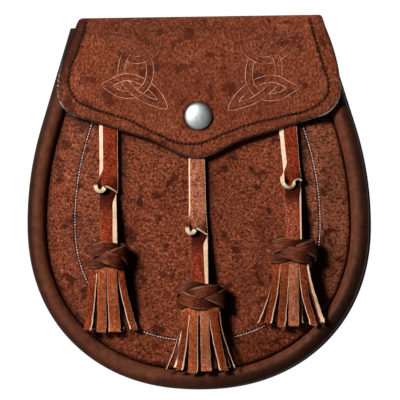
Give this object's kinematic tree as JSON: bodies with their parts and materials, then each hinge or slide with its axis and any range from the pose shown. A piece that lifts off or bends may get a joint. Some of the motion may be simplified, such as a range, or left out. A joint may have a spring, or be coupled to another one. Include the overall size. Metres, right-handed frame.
{
  "type": "sporran pouch",
  "caption": "Leather day sporran: round-bottomed pouch with a rolled rim, a snap flap over the mouth, tassels on thongs and belt loops behind.",
  "frame": {"origin": "under the middle of the pouch's outline, on the surface that it lies on", "axes": "+X to the right as the face is looked at, +Y towards the mouth and the flap's fold, +Z out of the face"},
  "size_m": [0.1852, 0.2006, 0.0477],
  "materials": {
    "mottled_leather": "speckled mid-brown leather, satin, with darker burnished edges",
    "rim_leather": "smooth dark brown leather, satin, with a soft shine on the roll",
    "back_leather": "plain dark brown leather with black painted edges",
    "thong_leather": "reddish brown leather with pale raw cut edges",
    "knot_leather": "dark brown woven leather, satin",
    "fringe_leather": "orange-brown leather strips with pale raw cut edges",
    "nickel": "satin nickel"
  },
  "bodies": {
    "root": {"back_panel": "back_leather", "gusset": "rim_leather", "front_panel": "mottled_leather", "flap": "mottled_leather", "snap_cap": "nickel", "snap_stud": "nickel", "belt_loop_left": "back_leather", "belt_loop_right": "back_leather", "strap_left": "thong_leather", "strap_centre": "thong_leather", "strap_right": "thong_leather", "knot_left": "knot_leather", "knot_centre": "knot_leather", "knot_right": "knot_leather", "fringe_left": "fringe_leather", "fringe_centre": "fringe_leather", "fringe_right": "fringe_leather"}
  },
  "joints": []
}
